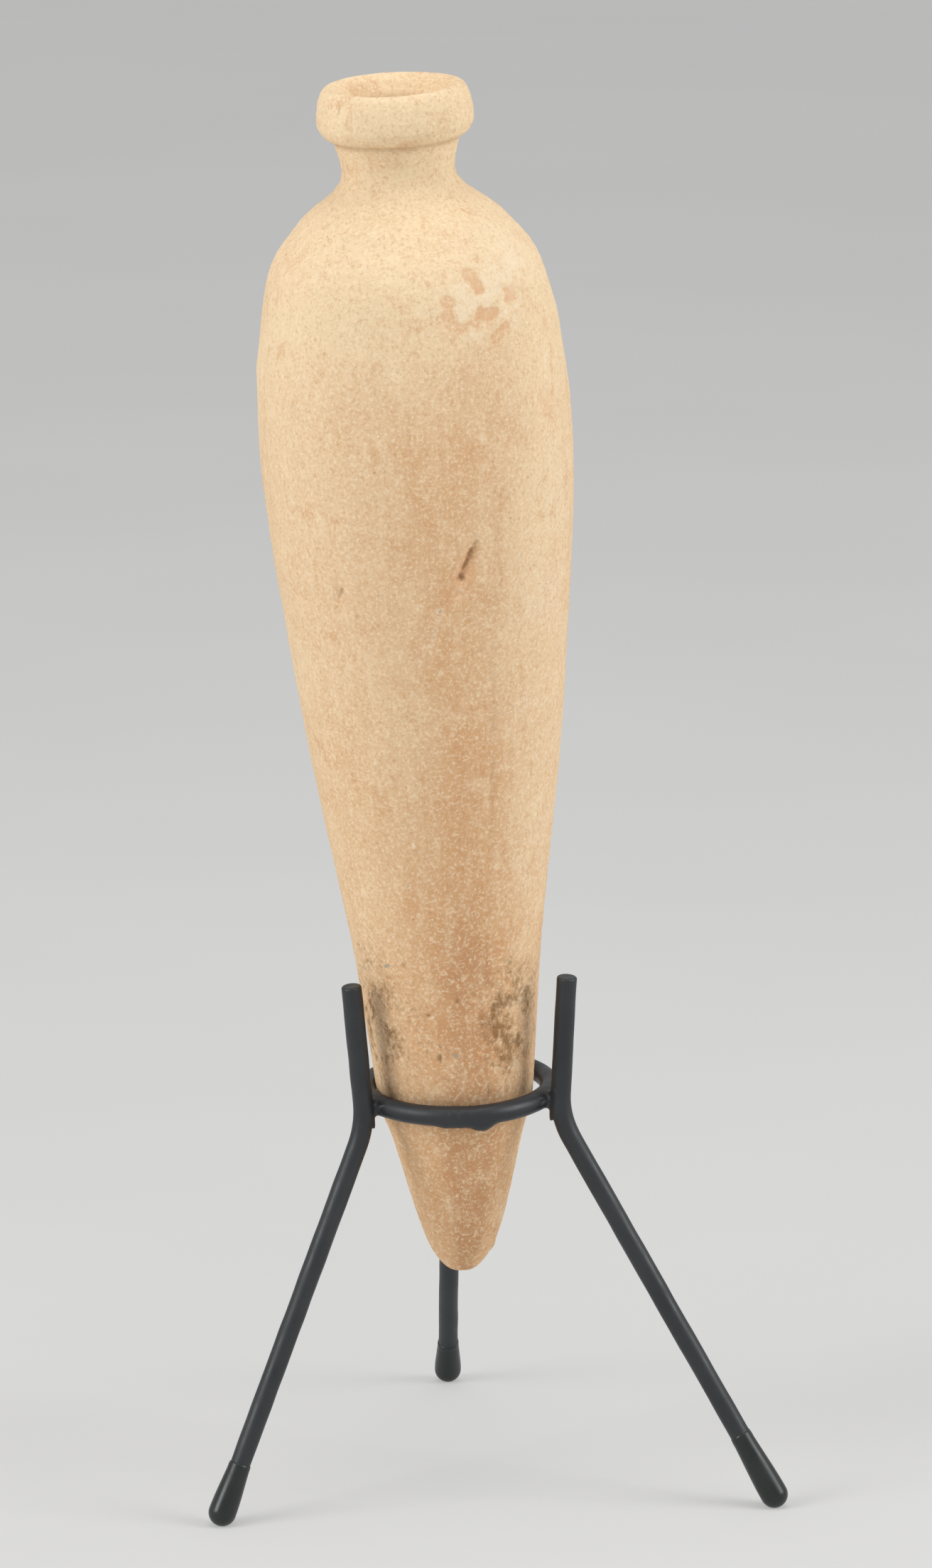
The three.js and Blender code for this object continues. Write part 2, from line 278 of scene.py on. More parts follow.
DARK_MARKS = [
    ((181.6, 11.9), (3.4, 0.62), 24, 0.75),
    ((177.4, 8.8), (1.3, 0.8), 15, 0.7),
    ((185.0, 14.6), (1.0, 0.5), 20, 0.5),
    ((174.3, -39.5), (2.2, 0.6), 24, 0.4),
    ((73.3, -1.0), (1.7, 0.55), 0, 0.5),
    ((70.2, -1.2), (1.0, 0.5), 0, 0.35),
    ((59.0, -14.6), (1.2, 0.7), 0, 0.7),
    ((62.0, -13.6), (0.7, 0.6), 0, 0.45),
    ((69.9, -19.5), (0.6, 1.1), 0, 0.5),
    ((69.0, -15.2), (0.5, 0.9), 0, 0.35),
    ((82.6, -33.0), (1.0, 0.7), 0, 0.45),
    ((67.5, 22.3), (4.4, 0.38), 0, 0.6),
    ((49.6, 18.6), (2.0, 0.45), 0, 0.7),
    ((73.0, -56.0), (2.4, 0.9), 0, 0.45),
    ((64.3, -53.5), (3.4, 1.0), -10, 0.7),
    ((58.6, -51.5), (2.4, 0.9), -10, 0.55),
    ((56.5, -74.0), (1.3, 1.6), 0, 0.55),
    ((51.0, -60.0), (1.0, 2.2), 0, 0.45),
    ((84.0, -72.0), (1.4, 1.0), 0, 0.45),
    ((66.8, 33.0), (2.2, 1.7), 20, 0.55),
    ((79.0, 40.0), (2.6, 0.8), 0, 0.4),
    ((74.0, 48.0), (3.0, 1.0), -15, 0.45),
    ((56.0, 44.0), (1.8, 0.9), 0, 0.4),
    ((281.4, -52.0), (1.3, 0.9), 0, 0.35),
    ((283.0, -63.0), (0.8, 0.9), 0, 0.3),
    ((111.0, 34.0), (0.6, 0.6), 0, 0.3),
    ((124.0, 165.0), (3.0, 1.6), 0, 0.4),
    ((66.0, 150.0), (3.6, 2.2), 0, 0.5),
    ((61.0, 190.0), (2.6, 3.0), 20, 0.45),
    ((72.0, 235.0), (3.0, 1.5), -15, 0.45),
]
PALE_MARKS = [
    ((174.4, 9.0), (0.5, 1.5), 25, 0.55),
    ((179.0, 6.6), (4.6, 0.4), 24, 0.35),
    ((168.6, -0.6), (3.2, 0.8), 16, 0.4),
    ((163.4, -3.0), (2.4, 0.8), 18, 0.45),
    ((166.0, 37.4), (1.4, 0.32), 30, 0.7),
    ((222.0, 55.0), (10.0, 1.7), 12, 0.4),
    ((112.8, -19.1), (0.9, 0.4), 0, 0.9),
    ((88.3, -41.0), (0.6, 0.5), 0, 0.85),
    ((86.4, -49.5), (0.5, 0.5), 0, 0.6),
    ((69.5, -17.5), (0.45, 0.5), 0, 0.85),
    ((59.0, 5.5), (1.2, 0.5), 0, 0.4),
    ((282.8, -77.0), (0.5, 0.5), 0, 0.6),
    ((281.0, -28.0), (0.5, 0.5), 0, 0.7),
    ((279.5, -22.0), (0.35, 0.35), 0, 0.6),
    ((286.6, 22.0), (0.45, 3.2), -10, 0.6),
    ((287.2, 36.0), (0.5, 2.6), 12, 0.6),
    ((250.0, -8.0), (0.6, 1.0), 0, 0.4),
    ((243.0, 150.0), (4.0, 6.0), 20, 0.35),
]
GREY_MARKS = [
    ((81.6, -45.2), (0.5, 1.2), -20, 0.9),
    ((59.7, -3.8), (0.6, 0.6), 0, 0.9),
    ((102.4, -24.2), (0.45, 0.45), 0, 0.6),
    ((169.8, 0.0), (1.0, 0.5), 15, 0.5),
    ((163.6, -2.0), (0.8, 0.4), 15, 0.4),
    ((174.0, -40.0), (1.8, 0.6), 22, 0.45),
    ((150.0, 140.0), (0.6, 0.7), 0, 0.7),
]


def leaf_spall(height, angle):
    """Leaf-shaped flake lost beside the long line: pointed above, straight on its right."""
    leaf = patch(height, angle, (178.0, 9.6), (8.2, 2.9), 26, 8.0)
    return leaf / (1 + np.exp(turned_from(angle, 15.6) * 3.0))


def drip_scar(height, angle):
    """Long shallow tongue on the right of the shoulder, rounder and wider at its foot."""
    tongue = patch(height, angle, (221.5, 57.0), (11.0, 2.1), 14, 6.0)
    return np.maximum(tongue, patch(height, angle, (213.6, 52.8), (3.6, 2.6), 6, 6.0))


def summed(marks, height, angle):
    """Strongest of a list of marks at each point."""
    found = np.zeros_like(height)
    for centre, half_size, tilt, strength in marks:
        found = np.maximum(found, strength * patch(height, angle, centre, half_size, tilt, 3.0))
    return found


def pot_relief(height, angle, share):
    """How far the clay stands proud of its outline, in mm; what is cut away is negative."""
    turn = angle / 360
    relief = 0.10 * lattice_noise(turn, share, 5, 7, 11)
    relief += 0.07 * lattice_noise(turn, share, 16, 26, 12)
    relief += 0.035 * lattice_noise(turn, share, 60, 110, 13)
    relief += 0.022 * lattice_noise(turn, share, 150, 260, 14)
    trimmed = np.clip((height - 45) / 30, 0, 1) * np.clip((235 - height) / 30, 0, 1)
    relief += 0.05 * trimmed * lattice_noise(turn, share, 90, 5, 15)
    relief += 0.03 * trimmed * lattice_noise(turn, share, 210, 9, 16)
    turned_part = np.clip((height - 225) / 20, 0, 1)
    relief += 0.035 * turned_part * np.sin(height * 2.6 + 0.6 * lattice_noise(turn, share, 4, 9, 17))
    for centre, half_size, tilt, depth in GOUGES:
        relief -= depth * patch(height, angle, centre, half_size, tilt, 3.0)
    relief -= 0.22 * leaf_spall(height, angle) + 0.22 * drip_scar(height, angle)
    flaking = patch(height, angle, (238.5, 27.0), (9.0, 12.5), 0, 4.0)
    lost = lattice_noise(turn, share, 70, 95, 18) + 0.5 * lattice_noise(turn, share, 130, 190, 19)
    relief -= 0.17 * flaking * np.clip(lost * 5, 0, 1)
    relief -= 0.10 * patch(height, angle, (130.0, 20.5), (88.0, 0.5), 1.0, 4.0)
    relief += 0.35 * patch(height, angle, (221.0, -92.0), (4.0, 6.0), 0, 2.0)
    relief += 0.3 * patch(height, angle, (231.0, 80.0), (4.0, 5.0), 0, 2.0)
    relief += 0.5 * patch(height, angle, (5.5, 88.0), (1.6, 1.6), 0, 2.0)
    relief -= 0.35 * patch(height, angle, (282.0, -50.0), (2.0, 4.0), 0, 2.0)
    return relief


def pot():
    """The whole pot as one fine skin, in its own frame with its point at zero height."""
    outside, over, inside = pot_profile()
    profile = np.concatenate([outside[1:-1], over, inside[1:]])
    skin = np.arange(len(profile)) < len(outside) + len(over) - 12
    angles = np.linspace(0, 360, POT_SIDES, endpoint=False)
    height, angle = np.meshgrid(profile[:, 1], angles, indexing="ij")
    radius = np.repeat(profile[:, 0][:, None], POT_SIDES, 1)
    share = height / MOUTH_HEIGHT
    along = np.gradient(profile, axis=0)
    along /= np.linalg.norm(along, axis=1)[:, None]
    outward = np.stack([along[:, 1], -along[:, 0]], 1)
    relief = pot_relief(height, angle, share) * skin[:, None]
    seam = np.abs(np.arange(len(profile)) - len(outside)) * POT_STEP
    relief -= (0.35 * np.exp(-(seam / 1.1) ** 2))[:, None]
    radius = radius + relief * outward[:, 0][:, None]
    level = height + relief * outward[:, 1][:, None]
    kick = -POINT_KICK * np.clip(1 - level / SEAT_HEIGHT, 0, 1) ** 2
    bow = BOW * np.sin(np.pi * np.clip((level - SEAT_HEIGHT) / (MOUTH_HEIGHT - SEAT_HEIGHT), 0, 1))
    # Zero degrees faces the front, and angles grow to the right
    x = radius * np.sin(np.radians(angle)) + kick + bow
    y = -radius * np.cos(np.radians(angle))
    points, faces = capped_grid(np.stack([x, y, level], -1))
    piece = build_mesh("bottle", points, faces, clay_material(), BOTTLE)
    store_marks(piece.data, height, angle, share, skin, seam)
    return piece


def store_marks(mesh, height, angle, share, skin, seam):
    """Where the clay is darker, paler, greyer or flushed, and where painted shade darkens the crease under the rim,
    for its material to read.
    """
    turn = angle / 360
    broken = 0.5 + 0.5 * lattice_noise(turn, share, 130, 230, 21)
    coarse = 0.5 + 0.5 * lattice_noise(turn, share, 42, 80, 22)
    dark = summed(DARK_MARKS, height, angle)
    # Soil stains gather in a band just above the ring, most on the two sides
    band = np.exp(-((height - 66) / 17) ** 4)
    sides = patch(height, angle, (66.0, 40.0), (16.0, 9.0), 0, 3.0)
    sides = np.maximum(sides, patch(height, angle, (66.0, -64.0), (18.0, 8.0), 0, 3.0))
    sides = np.maximum(sides, 0.8 * patch(height, angle, (66.0, 185.0), (14.0, 16.0), 0, 3.0))
    soil = np.clip((0.45 * broken + 0.75 * coarse) * 2.0 - 0.72, 0, 1)
    dark = np.maximum(dark, soil * (0.62 * sides + 0.2 * band))
    pale = summed(PALE_MARKS, height, angle)
    lost = lattice_noise(turn, share, 70, 95, 18) + 0.5 * lattice_noise(turn, share, 130, 190, 19)
    flaking = patch(height, angle, (238.5, 27.0), (9.5, 13.0), 0, 4.0)
    pale = np.maximum(pale, 0.5 * flaking * np.clip(-lost * 4, 0, 1))
    # Worn bloom over the shoulder on the right and down the right side
    bloom = 0.55 * patch(height, angle, (247.0, 48.0), (9.0, 16.0), 0, 2.0)
    bloom = np.maximum(bloom, 0.38 * patch(height, angle, (165.0, 58.0), (60.0, 17.0), 0, 3.0))
    bloom = np.maximum(bloom, 0.35 * patch(height, angle, (105.0, 60.0), (30.0, 14.0), 0, 3.0))
    bloom = np.maximum(bloom, 0.25 * patch(height, angle, (190.0, -60.0), (50.0, 22.0), 0, 3.0))
    pale = np.maximum(pale, bloom * (0.35 + 0.65 * coarse))
    spall = leaf_spall(height, angle)
    scar = drip_scar(height, angle)
    flush = 0.8 * flaking * np.clip(lost * 4, 0, 1)
    flush = np.maximum(flush, 0.55 * spall)
    flush = np.maximum(flush, 2.0 * scar * (1 - scar))
    flush = np.maximum(flush, 0.5 * scar * patch(height, angle, (213.0, 52.0), (4.0, 4.0), 0, 2.0))
    grey = summed(GREY_MARKS, height, angle)
    # Painted shade: darker clay in the crease under the rim and in the hollow's shadow; also darker along the long
    # line, broken up by coarse noise
    line = patch(height, angle, (130.0, 20.5), (88.0, 0.6), 1.0, 4.0)
    rim_shade_and_line_mark = np.maximum(0.4 * line * coarse, (0.55 * np.exp(-(seam / 1.2) ** 2))[:, None])
    # Cream above, orange down the middle, browner towards the foot
    middle = np.exp(-(turned_from(angle, 8) / 26) ** 2)
    low = np.clip((150 - height) / 110, 0, 1)
    flank = np.clip((238 - height) / 30, 0, 1)
    warmth = 0.06 + flank * (0.17 + 0.36 * middle) + 0.52 * low * (0.75 + 0.25 * middle)
    warmth += 0.06 * flank * np.cos(np.radians(angle * 3 + 70))
    layers = {"dark": dark, "pale": pale, "flush": flush, "grey": grey, "rim_shade_and_line_mark": rim_shade_and_line_mark}
    for name, values in layers.items():
        shown = np.clip(values, 0, 1) * skin[:, None]
        store(mesh, name, np.concatenate([shown.ravel(), [shown[0].mean(), 0.0]]))
    warmth = np.clip(warmth, 0, 1)
    store(mesh, "warmth", np.concatenate([warmth.ravel(), [warmth[0].mean(), warmth[-1].mean()]]))


# Materials

def linear(red, green, blue):
    """Colour written as 0 to 255 display values, as Blender keeps it."""
    shares = (value / 255 for value in (red, green, blue))
    return tuple(s / 12.92 if s <= 0.04045 else ((s + 0.055) / 1.055) ** 2.4 for s in shares) + (1.0,)


class Shader:
    """Small helper that adds nodes to a material and joins them."""

    def __init__(self, name, upright=None):
        self.material = bpy.data.materials.new(name)
        self.material.use_nodes = True
        self.tree = self.material.node_tree
        self.surface = self.tree.nodes["Principled BSDF"]
        self.place = self.add("ShaderNodeTexCoord").outputs["Object"]
        if upright is not None:
            turned = self.add("ShaderNodeMapping")
            turned.inputs["Rotation"].default_value = upright.inverted().to_euler()
            self.link(self.place, turned.inputs["Vector"])
            self.place = turned.outputs["Vector"]

    def add(self, kind, **settings):
        node = self.tree.nodes.new(kind)
        for key, value in settings.items():
            setattr(node, key, value)
        return node

    def link(self, source, target):
        if isinstance(source, (int, float, tuple)):
            target.default_value = source
        else:
            self.tree.links.new(source, target)

    def stretched(self, scale):
        mapping = self.add("ShaderNodeMapping")
        mapping.inputs["Scale"].default_value = scale
        self.link(self.place, mapping.inputs["Vector"])
        return mapping.outputs["Vector"]

    def noise(self, scale, detail=4.0, roughness=0.55, place=None, distortion=0.0):
        node = self.add("ShaderNodeTexNoise")
        self.link(place or self.place, node.inputs["Vector"])
        for socket, value in (("Scale", scale), ("Detail", detail), ("Roughness", roughness),
                              ("Distortion", distortion)):
            node.inputs[socket].default_value = value
        return node.outputs["Fac"]

    def spots(self, scale, randomness=1.0):
        node = self.add("ShaderNodeTexVoronoi")
        self.link(self.place, node.inputs["Vector"])
        node.inputs["Scale"].default_value = scale
        node.inputs["Randomness"].default_value = randomness
        return node.outputs["Distance"]

    def attribute(self, name):
        return self.add("ShaderNodeAttribute", attribute_name=name).outputs["Fac"]

    def ramp(self, source, low, high, start=0.0, end=1.0):
        """Value from start to end as the source goes from low to high."""
        node = self.add("ShaderNodeMapRange", interpolation_type="SMOOTHSTEP")
        self.link(source, node.inputs["Value"])
        for socket, value in (("From Min", low), ("From Max", high), ("To Min", start), ("To Max", end)):
            node.inputs[socket].default_value = value
        return node.outputs["Result"]

    def math(self, operation, first, second=0.5):
        node = self.add("ShaderNodeMath", operation=operation, use_clamp=operation != "SUBTRACT")
        self.link(first, node.inputs[0])
        self.link(second, node.inputs[1])
        return node.outputs["Value"]

    def mix(self, share, first, second, blend="MIX"):
        node = self.add("ShaderNodeMix", data_type="RGBA", blend_type=blend)
        self.link(share, node.inputs["Factor"])
        self.link(first, node.inputs["A"])
        self.link(second, node.inputs["B"])
        return node.outputs["Result"]

    def bump(self, height, distance, strength=1.0, under=None):
        node = self.add("ShaderNodeBump")
        node.inputs["Distance"].default_value = distance
        node.inputs["Strength"].default_value = strength
        self.link(height, node.inputs["Height"])
        if under is not None:
            self.link(under, node.inputs["Normal"])
        return node.outputs["Normal"]

    def finish(self, colour, roughness, normal):
        self.link(colour, self.surface.inputs["Base Color"])
        self.link(roughness, self.surface.inputs["Roughness"])
        self.link(normal, self.surface.inputs["Normal"])
        return self.material


def clay_material():
    """Matte fired clay: cream to orange-brown, finely mottled, streaked along the pot, stained, and darkened with
    painted shade in the crease under the rim.
    """
    clay = Shader("fired_clay", BOTTLE.to_3x3())
    cloud = clay.noise(26, 5, 0.6, distortion=0.4)
    warm = clay.math("ADD", clay.attribute("warmth"), clay.ramp(cloud, 0.3, 0.7, -0.12, 0.12))
    colour = clay.mix(clay.ramp(warm, 0.0, 0.4), linear(232, 207, 169), linear(223, 189, 149))
    colour = clay.mix(clay.ramp(warm, 0.35, 0.75), colour, linear(213, 168, 124))
    colour = clay.mix(clay.ramp(warm, 0.7, 1.0), colour, linear(196, 148, 106))
    # Blotches a few millimetres across, then streaks left by trimming
    blotch = clay.noise(170, 6, 0.65, distortion=0.5)
    colour = clay.mix(clay.ramp(blotch, 0.50, 0.70, 0.0, 0.50), colour, linear(236, 209, 171))
    rusty = clay.noise(120, 6, 0.65, distortion=0.7)
    colour = clay.mix(clay.ramp(rusty, 0.52, 0.72, 0.0, 0.42), colour, linear(204, 148, 102))
    streak = clay.noise(1.0, 5, 0.6, place=clay.stretched((380, 380, 18)))
    colour = clay.mix(clay.ramp(streak, 0.50, 0.76, 0.0, 0.34), colour, linear(238, 214, 180))
    colour = clay.mix(clay.ramp(streak, 0.26, 0.44, 0.26, 0.0), colour, linear(194, 142, 100))
    # Grain: dense fine mottling of pale and rusty specks
    grain = clay.noise(1250, 3, 0.75)
    colour = clay.mix(clay.ramp(grain, 0.50, 0.66, 0.0, 0.60), colour, linear(243, 222, 190))
    colour = clay.mix(clay.ramp(grain, 0.32, 0.46, 0.45, 0.0), colour, linear(198, 144, 98))
    soft_grain = clay.noise(520, 4, 0.7)
    colour = clay.mix(clay.ramp(soft_grain, 0.54, 0.70, 0.0, 0.50), colour, linear(240, 216, 180))
    colour = clay.mix(clay.ramp(soft_grain, 0.30, 0.44, 0.34, 0.0), colour, linear(200, 146, 102))
    # Grains of white grit and tiny dark pits, both rare
    grit = clay.ramp(clay.spots(330), 0.05, 0.10, 1.0, 0.0)
    grit = clay.math("MULTIPLY", grit, clay.ramp(clay.noise(150, 2), 0.60, 0.66))
    colour = clay.mix(clay.math("MULTIPLY", grit, 0.7), colour, linear(250, 238, 218))
    pits = clay.ramp(clay.spots(230), 0.04, 0.09, 1.0, 0.0)
    pits = clay.math("MULTIPLY", pits, clay.ramp(clay.noise(80, 2), 0.60, 0.66))
    colour = clay.mix(clay.math("MULTIPLY", pits, 0.5), colour, linear(150, 104, 70))
    # Marks that have their own place on the pot, broken up finely at their edges
    fine = clay.noise(800, 4, 0.75)
    edge = clay.ramp(fine, 0.3, 0.7, -0.3, 0.3)
    # Painted shade: darker clay in the crease under the rim; the same mask darkens the long line
    rim_shade_and_line_mark = clay.math("MULTIPLY", clay.attribute("rim_shade_and_line_mark"), 0.5)
    colour = clay.mix(rim_shade_and_line_mark, colour, linear(150, 112, 76))
    flush = clay.ramp(clay.math("ADD", clay.attribute("flush"), edge), 0.1, 0.9)
    colour = clay.mix(clay.math("MULTIPLY", flush, 0.6), colour, linear(213, 156, 112))
    pale = clay.ramp(clay.math("ADD", clay.attribute("pale"), edge), 0.1, 0.8)
    colour = clay.mix(clay.math("MULTIPLY", pale, 0.7), colour, linear(243, 225, 197))
    dark = clay.ramp(clay.math("ADD", clay.attribute("dark"), edge), 0.1, 0.95)
    colour = clay.mix(clay.math("MULTIPLY", dark, 0.8), colour, linear(128, 92, 52))
    grey = clay.ramp(clay.attribute("grey"), 0.25, 0.6)
    colour = clay.mix(clay.math("MULTIPLY", grey, 0.8), colour, linear(163, 158, 140))
    roughness = clay.ramp(blotch, 0.3, 0.7, 0.86, 0.95)
    normal = clay.bump(streak, 0.00015, 0.6)
    normal = clay.bump(grain, 0.00010, 0.6, normal)
    normal = clay.bump(soft_grain, 0.00014, 0.6, normal)
    normal = clay.bump(pits, -0.0002, 0.5, normal)
    clay.surface.inputs["Specular IOR Level"].default_value = 0.22
    return clay.finish(colour, roughness, normal)


def paint_material():
    """Satin charcoal paint over steel rod, a little uneven, with a few rubbed and chipped specks."""
    paint = Shader("satin_paint")
    tone = paint.noise(70, 4, 0.6)
    colour = paint.mix(paint.ramp(tone, 0.3, 0.7), linear(30, 33, 36), linear(38, 41, 44))
    dust = paint.noise(900, 3, 0.7)
    colour = paint.mix(paint.ramp(dust, 0.62, 0.78, 0.0, 0.3), colour, linear(66, 70, 73))
    chips = paint.ramp(paint.spots(95), 0.025, 0.04, 1.0, 0.0)
    chips = paint.math("MULTIPLY", chips, paint.ramp(paint.noise(40, 1), 0.6, 0.64))
    colour = paint.mix(paint.math("MULTIPLY", chips, 0.8), colour, linear(170, 172, 170))
    roughness = paint.ramp(paint.noise(160, 4, 0.6), 0.3, 0.7, 0.40, 0.54)
    normal = paint.bump(paint.noise(520, 3, 0.6), 0.00008, 0.35)
    normal = paint.bump(paint.noise(110, 2, 0.5), 0.00025, 0.3, normal)
    return paint.finish(colour, roughness, normal)


def dip_material():
    """Dipped coat on the feet: darker and glossier than the paint, faintly green, a little dusty."""
    dip = Shader("dipped_coat")
    tone = dip.noise(120, 3, 0.6)
    colour = dip.mix(dip.ramp(tone, 0.3, 0.7), linear(20, 25, 25), linear(28, 33, 33))
    colour = dip.mix(dip.ramp(dip.noise(1100, 3, 0.7), 0.64, 0.8, 0.0, 0.3), colour, linear(56, 62, 61))
    roughness = dip.ramp(dip.noise(200, 4, 0.6), 0.3, 0.7, 0.26, 0.42)
    normal = dip.bump(dip.noise(260, 2, 0.5), 0.00012, 0.3)
    return dip.finish(colour, roughness, normal)


# Stand pieces

def upright_point(azimuth, height):
    """Middle of an upright at a height over the ring's plane, in the crown's frame."""
    return polar(UPRIGHT_RADIUS + height * math.tan(UPRIGHT_FLARE), azimuth, height)


def foot_centre(azimuth):
    return STAND_ORIGIN + polar(FOOT_CIRCLE, azimuth, COAT_RADIUS - COAT_FLAT)


def bend_point(azimuth):
    return CROWN @ upright_point(azimuth + CROWN_TWIST, -BEND_DROP)


def leg(name, azimuth):
    """One bent rod, from its softened top edge, round its bend, down into its dipped foot."""
    top = CROWN @ upright_point(azimuth + CROWN_TWIST, UPRIGHT_HEIGHT)
    bend, end = bend_point(azimuth), foot_centre(azimuth)
    above = bend + (top - bend).normalized() * BEND_LENGTH
    below = bend + (end - bend).normalized() * BEND_LENGTH
    curve = [above * (1 - t) ** 2 + bend * (2 * t * (1 - t)) + below * t ** 2 for t in np.linspace(0, 1, 24)]
    path = even_steps(np.array([tuple(point) for point in [top, *curve, end]]), ROD_STEP)
    down = (path[1] - path[0]) / np.linalg.norm(path[1] - path[0])
    # A filed edge round the flat top
    edge = 0.55
    arc = np.linspace(0, math.pi / 2, 7)
    softened = [(edge * (1 - math.sin(angle)), ROD - edge * (1 - math.cos(angle))) for angle in arc]
    lead = [path[0] + down * (drop) for drop, _ in softened[::-1]]
    radii = [radius for _, radius in softened[::-1]]
    flat = [(path[0], share * (ROD - edge)) for share in (0.3, 0.7)]
    rest = [point for point in path if (point - path[0]).dot(down) > edge * 1.3 or np.linalg.norm(point - path[0]) > 5]
    points = [point for point, _ in flat] + lead + rest
    radii = [radius for _, radius in flat] + radii + [ROD] * len(rest)
    return lofted("leg_" + name, points, radii, down, paint, seed=int(azimuth))


def lofted(name, points, radii, first_direction, material, seed):
    """Rod whose first rings share one direction, so that its flat end stays flat."""
    rings = swept_fixed(points, radii, first_direction, seed)
    return build_mesh(name, *capped_grid(rings), material)


def swept_fixed(points, radii, first_direction, seed):
    """Rings along points, where coincident points take the first direction."""
    points = np.array([tuple(point) for point in points])
    sides = ROD_SIDES
    turns = np.linspace(0, 2 * math.pi, sides, endpoint=False)
    reference = np.cross(first_direction, (0.31, 0.87, 0.12))
    rings = []
    for index, (point, radius) in enumerate(zip(points, radii)):
        before, after = points[max(index - 1, 0)], points[min(index + 1, len(points) - 1)]
        step = after - before
        size = np.linalg.norm(step)
        direction = step / size if index > 9 and size > 1e-6 else np.asarray(first_direction)
        first = reference - direction * reference.dot(direction)
        first /= np.linalg.norm(first)
        second = np.cross(direction, first)
        share = np.full(sides, index / len(points))
        uneven = 0.05 * lattice_noise(turns / (2 * math.pi), share, 4, 30, seed) * min(radius / ROD, 1) ** 4
        ring = np.outer(np.cos(turns), first) + np.outer(np.sin(turns), second)
        rings.append(point + ring * (radius + uneven - 0.03)[:, None])
    return np.array(rings)


# Weld run under the ring: degrees from the weld's middle, width in degrees, and height in mm
WELD_LUMPS = [(-10.0, 4.0, 0.5), (14.0, 5.5, 1.5), (3.0, 9.0, 0.45), (8.0, 3.5, 0.4), (-3.0, 2.5, 0.2)]


def ring():
    """Closed ring of rod with the weld's lumps run down under its front."""
    count, sides = 420, ROD_SIDES
    azimuths = np.linspace(0, 360, count, endpoint=False)
    turns = np.linspace(0, 360, sides, endpoint=False)
    azimuth, turn = np.meshgrid(azimuths, turns, indexing="ij")
    away = turned_from(azimuth, WELD_AZIMUTH)
    below = np.cos(np.radians(turn + 100))
    below = np.clip(below, 0, 1) ** 1.4
    radius = ROD - 0.03 + 0.05 * lattice_noise(azimuth / 360, turn / 360, 30, 3, 41)
    for centre, width, proud in WELD_LUMPS:
        radius = radius + proud * np.exp(-((away - centre) / width) ** 2) * below
    radius += 0.12 * np.exp(-(away / 9) ** 4) * lattice_noise(azimuth / 360, turn / 360, 240, 6, 42)
    out, height = radius * np.cos(np.radians(turn)), radius * np.sin(np.radians(turn))
    reach = RING_RADIUS + out
    rings = np.stack([reach * np.cos(np.radians(azimuth)), reach * np.sin(np.radians(azimuth)), height], -1)
    faces = grid_faces(count, sides)
    last = (count - 1) * sides
    for side in range(sides):
        following = (side + 1) % sides
        faces.append((last + side, last + following, following, side))
    return build_mesh("ring", rings.reshape(-1, 3), [face[::-1] for face in faces], paint, CROWN)


def fillet(name, azimuth):
    """Skin of weld metal that runs smoothly from the ring onto an upright."""
    joint = polar(RING_RADIUS + ROD + JOINT_GAP / 2, azimuth + CROWN_TWIST, 0)
    bend = upright_point(azimuth + CROWN_TWIST, -BEND_DROP)
    top = upright_point(azimuth + CROWN_TWIST, UPRIGHT_HEIGHT)
    end = CROWN.inverted() @ foot_centre(azimuth)
    reach = 5.0

    def from_line(point, start, finish):
        axis = (finish - start).normalized()
        along = max((point - start).dot(axis), 0.0)
        return (point - start - axis * along).length

    def depth(point, blend):
        flat = math.hypot(point.x, point.y)
        to_ring = math.hypot(flat - RING_RADIUS, point.z) - ROD
        to_rod = min(from_line(point, bend, top), from_line(point, bend, end)) - ROD + 0.04
        share = max(blend - abs(to_ring - to_rod), 0) / blend
        return min(to_ring, to_rod) - share * share * blend / 4

    rows, columns = 40, 56
    rings = []
    for row in range(1, rows):
        tilt = math.pi * row / rows
        rings.append([])
        for column in range(columns):
            turn = 2 * math.pi * column / columns
            ray = Vector((math.sin(tilt) * math.cos(turn), math.sin(tilt) * math.sin(turn), -math.cos(tilt)))
            distance = 0.15
            while distance < reach:
                blend = 3.4 * max(1 - distance / reach, 0.02) + 0.2
                if depth(joint + ray * distance, blend) > 0.02:
                    break
                distance += 0.06
            rings[-1].append(joint + ray * (distance - 0.05))
    rings = np.array([[tuple(point) for point in ring] for ring in rings])
    return build_mesh("fillet_" + name, *capped_grid(rings), paint, CROWN)


def foot(name, azimuth, dip):
    """Dipped coat: a thin wavy edge on the rod, full below, with a round end set flat on the floor."""
    centre = foot_centre(azimuth)
    direction = (bend_point(azimuth) - centre).normalized()
    profile = [(COAT_RADIUS * math.sin(a), -COAT_RADIUS * math.cos(a)) for a in np.linspace(0.12, math.pi / 2, 16)]
    for share in np.linspace(0.06, 1, 34):
        thin = np.clip(share / 1.25, 0, 1)
        thin = thin * thin * (3 - 2 * thin)
        radius = COAT_RADIUS * (1 - thin) + COAT_EDGE * thin
        profile.append((radius + 0.06 * math.exp(-((share - 0.94) / 0.04) ** 2), share * dip))
    profile += [(COAT_EDGE - 0.06, dip + 0.1), (ROD - 0.1, dip + 0.12), (ROD - 0.2, dip - 0.6)]
    count = 48
    turns = np.linspace(0, 2 * math.pi, count, endpoint=False)
    rings = []
    for radius, height in profile:
        wavy = 0.5 * lattice_noise(turns / (2 * math.pi), np.zeros(count), 5, 1, int(azimuth) + 3)
        level = height + wavy * np.clip(height / dip, 0, 1) ** 3
        rings.append(np.stack([radius * np.cos(turns), radius * np.sin(turns), level], 1))
    rings = np.array(rings)
    spin = np.array(Vector((0, 0, 1)).rotation_difference(direction).to_matrix())
    rings = rings @ spin.T + np.array(tuple(centre))
    rings[..., 2] = np.maximum(rings[..., 2], 0.0)
    return build_mesh("foot_" + name, *capped_grid(rings), dip_coat)


# Surroundings

